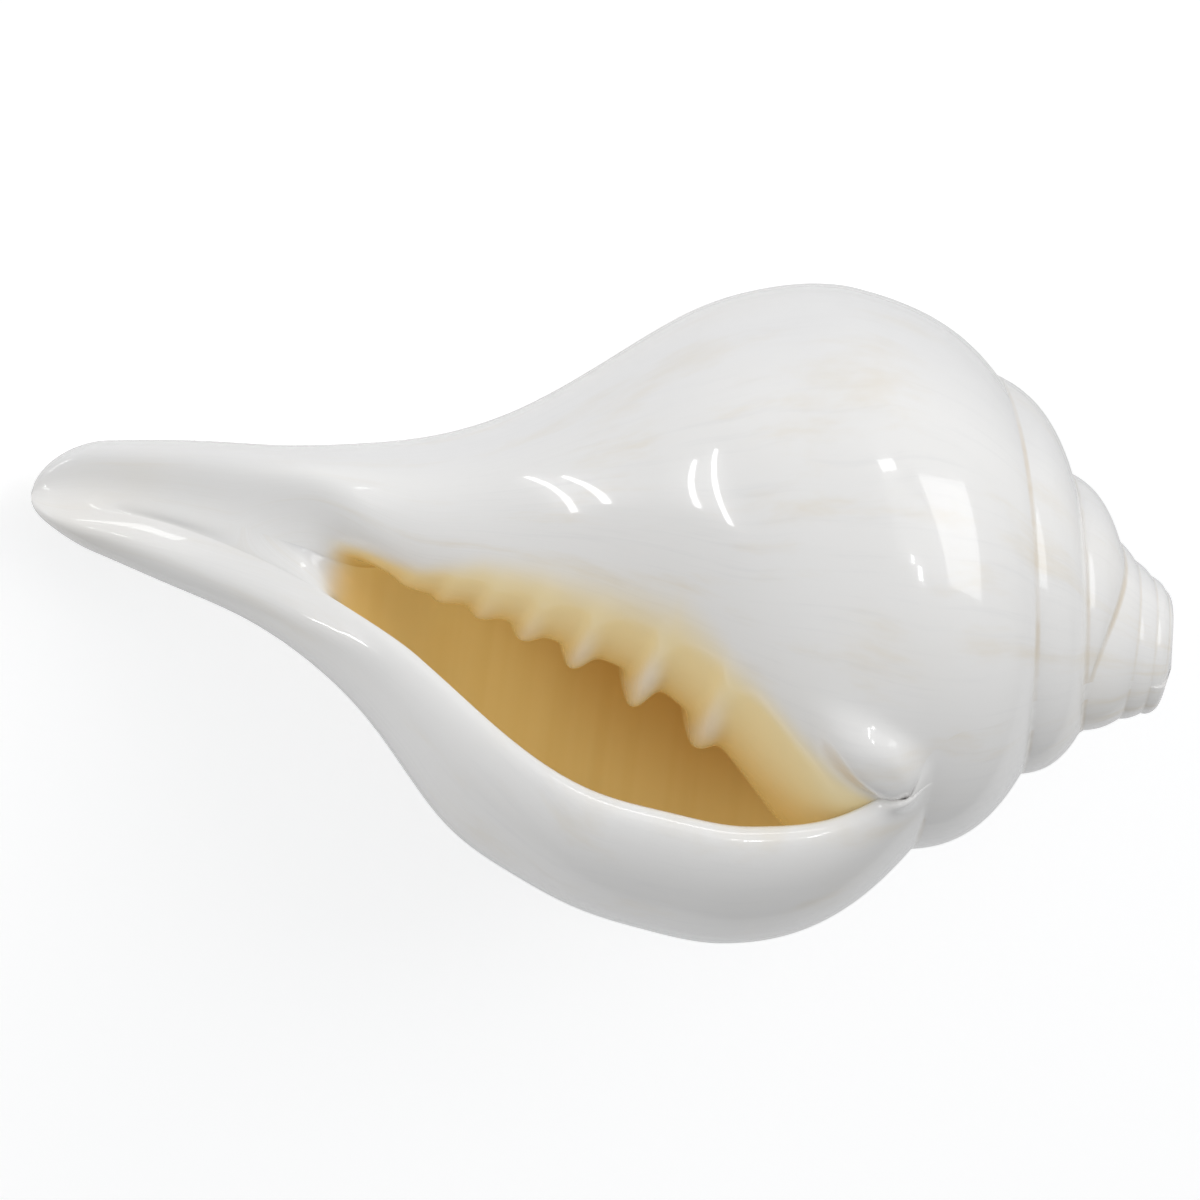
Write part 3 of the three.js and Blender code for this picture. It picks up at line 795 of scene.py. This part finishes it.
def floor_material(settings):
    material = bpy.data.materials.new("floor")
    n = Nodes(material)
    shader = n.add("ShaderNodeBsdfPrincipled")
    shader.inputs["Base Color"].default_value = settings.floor
    shader.inputs["Roughness"].default_value = 0.9
    shader.inputs["Emission Color"].default_value = (1, 1, 1, 1)
    # the shell's gloss sees a dimmer floor, which draws its outline against the pale ground
    gloss = n.add("ShaderNodeLightPath").outputs["Is Glossy Ray"]
    glow = n.ramp(gloss, 0, 1, settings.floor_glow, settings.floor_glow * FLOOR_GLOW_IN_GLOSS)
    n.link(glow, shader.inputs["Emission Strength"])
    output = n.add("ShaderNodeOutputMaterial")
    n.link(shader.outputs[0], output.inputs["Surface"])
    return material


# ---------------------------------------------------------------------------
# Operators
# ---------------------------------------------------------------------------
def to_row_frame(points, box):
    """Shell-frame millimetres to row-frame metres, for a shell whose own box is box."""
    axes = resting_axes()
    low, high = box
    turned = points @ axes.T
    offset = np.array([(low[0] + high[0]) / 2, (low[1] + high[1]) / 2, low[2]])
    cad_low, cad_high = (np.array(corner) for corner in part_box("shell"))
    place = np.array([*(cad_low + cad_high)[:2] / 2, cad_low[2]])
    return (turned - offset) * MM + place


class SHELL_OT_build(bpy.types.Operator):
    """Build the shell as one closed, painted surface"""

    bl_idname = "chank.build_shell"
    bl_label = "Build the shell"

    def execute(self, context):
        settings = context.scene.chank_shell
        levels, loops = shell_surface(
            settings.level_count, settings.outer_count, settings.inner_count
        )
        around = len(loops[0].turn)
        count = len(levels)
        tip_pole = loops[0].points.mean(0)
        tip_pole[0] = -TIP_PULL
        apex_pole = loops[-1].points.mean(0)
        apex_pole[0] = LENGTH + APEX_DOME
        points = np.vstack([*(loop.points for loop in loops), tip_pole, apex_pole])

        # lie it down, and leave the stage the place that the shell's own zero point came to
        turned = points @ resting_axes().T
        placed = to_row_frame(points, (turned.min(0), turned.max(0)))
        context.scene["chank_offset"] = [float(v) for v in placed[0] - turned[0] * MM]
        placed *= settings.length / (LENGTH * MM)

        grid = np.arange(count * around).reshape(count, around)
        right = np.roll(grid, -1, axis=1)
        quads = np.stack([grid[:-1], right[:-1], right[1:], grid[1:]], -1).reshape(-1, 4)
        faces = [tuple(int(v) for v in quad) for quad in quads]

        # close both ends with a fan round a pole
        tip_index = count * around
        for i in range(around):
            nxt = (i + 1) % around
            faces.append((tip_index, int(grid[0, nxt]), int(grid[0, i])))
            faces.append((tip_index + 1, int(grid[-1, i]), int(grid[-1, nxt])))

        mesh = bpy.data.meshes.new("chank_shell")
        mesh.from_pydata([tuple(p) for p in placed], [], faces)
        for name, values in surface_attributes(levels, loops).items():
            ends = [values[:around].mean(), values[-around:].mean()]
            layer = mesh.attributes.new(name, "FLOAT", "POINT")
            layer.data.foreach_set("value", np.concatenate([values, ends]).astype(np.float32))
        mesh.polygons.foreach_set("use_smooth", np.ones(len(mesh.polygons), bool))
        mesh.update()
        if mesh.validate():
            raise RuntimeError("the shell's surface has a bad face")
        shell = bpy.data.objects.new("chank_shell", mesh)
        context.scene.collection.objects.link(shell)
        shell.data.materials.append(polished_shell_material(settings))
        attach(shell, "root")
        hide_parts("shell")
        return {"FINISHED"}


# The camera, in the shell's own frame and millimetres.
CAMERA_PLACE = (80.44, -4.86, 466.62)
CAMERA_ROLL = math.atan(0.1327)
CAMERA_LENS = 100.0

# The floor is just under the shell, to leave no shared face.
FLOOR_HALF = 6.0
FLOOR_GAP = 0.0002

# The sky's brightness away from its bright side and towards it, as shares of the setting.
SKY_DIM, SKY_BRIGHT = 0.62, 1.3
SKY_SPREAD = 0.8
SHELL_MIDDLE = (85, 0, 0)

# Lights: the way to each one from the shell, in the shell's own frame, how far off it is and
# its width and height, in metres, how bright its face is, and whether it stands level with the
# floor or square to the shell.
BRIGHT_SIDE = (0.15, 0.75, 0.65)
LIGHTS = [
    ("pane_left_high", (-0.80, 0.06, 0.60), 0.70, (0.014, 0.36), 12.0, False),
    ("pane_left_low", (-0.84, 0.02, 0.54), 0.70, (0.010, 0.24), 12.0, False),
    ("window_right", (0.60, 0.40, 0.69), 0.80, (0.42, 0.56), 1.7, False),
    ("pane_front_big", (0.02, 0.03, 1.00), 1.20, (0.07, 0.10), 10.0, False),
    ("pane_front_small", (-0.07, 0.09, 1.00), 1.20, (0.05, 0.06), 10.0, False),
    ("strip_high", (-0.12, 0.58, 0.80), 1.00, (0.22, 0.07), 4.0, True),
    ("sky_front", (0.10, 0.30, 0.95), 1.60, (1.20, 0.80), 0.35, False),
]


class SHELL_OT_stage(bpy.types.Operator):
    """Lay the floor, hang the lights and set the camera"""

    bl_idname = "chank.build_stage"
    bl_label = "Build the stage"

    def execute(self, context):
        settings = context.scene.chank_stage
        axes = resting_axes()
        offset = Vector(context.scene["chank_offset"])

        def place(point):
            return Vector(axes @ np.array(point, float)) * MM + offset

        mesh = bpy.data.meshes.new("floor")
        corners = ((-1, -1), (1, -1), (1, 1), (-1, 1))
        points = [(x * FLOOR_HALF, y * FLOOR_HALF, 0) for x, y in corners]
        mesh.from_pydata(points, [], [(0, 1, 2, 3)])
        floor = bpy.data.objects.new("floor", mesh)
        floor.data.materials.append(floor_material(settings))
        floor.location.z = -FLOOR_GAP
        context.scene.collection.objects.link(floor)

        world = bpy.data.worlds.new("studio")
        world.use_nodes = True
        tree = world.node_tree
        background = tree.nodes["Background"]
        background.inputs["Color"].default_value = (0.98, 0.99, 1.0, 1)
        # the sky is brighter on one side
        view = tree.nodes.new("ShaderNodeTexCoord")
        facing = tree.nodes.new("ShaderNodeVectorMath")
        facing.operation = "DOT_PRODUCT"
        facing.inputs[1].default_value = Vector(axes @ np.array(BRIGHT_SIDE)).normalized()
        strength = tree.nodes.new("ShaderNodeMapRange")
        for socket, value in zip(
            ("From Min", "From Max", "To Min", "To Max"),
            (-SKY_SPREAD, SKY_SPREAD, settings.sky * SKY_DIM, settings.sky * SKY_BRIGHT),
        ):
            strength.inputs[socket].default_value = value
        tree.links.new(view.outputs["Generated"], facing.inputs[0])
        tree.links.new(facing.outputs["Value"], strength.inputs["Value"])
        tree.links.new(strength.outputs["Result"], background.inputs["Strength"])
        context.scene.world = world

        centre = place(SHELL_MIDDLE)
        for name, way, distance, size, brightness, level in LIGHTS:
            back = Vector(axes @ np.array(way)).normalized()
            light = bpy.data.lights.new(name, "AREA")
            light.shape = "RECTANGLE"
            light.size, light.size_y = size
            light.energy = settings.light * brightness * math.pi * size[0] * size[1]
            lamp = bpy.data.objects.new(name, light)
            lamp.location = centre + back * distance
            side = Vector((0, 0, 1)) if level else Vector(axes @ np.array((0.0, 1.0, 0.0)))
            height = (side - back * side.dot(back)).normalized()
            turn = Matrix(np.column_stack([height.cross(back), height, back]).tolist())
            lamp.rotation_mode = "QUATERNION"
            lamp.rotation_quaternion = turn.to_quaternion()
            lamp.visible_camera = False
            context.scene.collection.objects.link(lamp)

        lens = bpy.data.cameras.new("camera")
        lens.lens = CAMERA_LENS
        lens.sensor_width = 36.0
        lens.clip_start, lens.clip_end = 0.01, 50
        camera = bpy.data.objects.new("camera", lens)
        context.scene.collection.objects.link(camera)
        c, s = math.cos(CAMERA_ROLL), math.sin(CAMERA_ROLL)
        right, up, back = (axes @ np.array(v) for v in ((c, s, 0), (-s, c, 0), (0, 0, 1)))
        camera.matrix_world = Matrix.Translation(place(CAMERA_PLACE)) @ Matrix(
            np.column_stack([right, up, back]).tolist()
        ).to_4x4()
        context.scene.camera = camera
        context.scene.view_settings.view_transform = "Standard"
        return {"FINISHED"}


class SHELL_PT_panel(bpy.types.Panel):
    """The shell's settings and steps"""

    bl_idname = "SHELL_PT_panel"
    bl_label = "Chank shell"
    bl_space_type = "VIEW_3D"
    bl_region_type = "UI"
    bl_category = "Shell"

    def draw(self, context):
        for settings in (context.scene.chank_shell, context.scene.chank_stage):
            box = self.layout.box()
            for name in settings.__annotations__:
                box.prop(settings, name)
        for step in STEPS:
            self.layout.operator(step.bl_idname)


STEPS = (SHELL_OT_build, SHELL_OT_stage)
CLASSES = (ShellSettings, StageSettings, *STEPS, SHELL_PT_panel)


def register():
    for item in CLASSES:
        bpy.utils.register_class(item)
    bpy.types.Scene.chank_shell = bpy.props.PointerProperty(type=ShellSettings)
    bpy.types.Scene.chank_stage = bpy.props.PointerProperty(type=StageSettings)


def unregister():
    del bpy.types.Scene.chank_stage
    del bpy.types.Scene.chank_shell
    for item in reversed(CLASSES):
        bpy.utils.unregister_class(item)


def main():
    register()
    bpy.ops.chank.build_shell()
    bpy.ops.chank.build_stage()


if __name__ == "__main__":
    main()
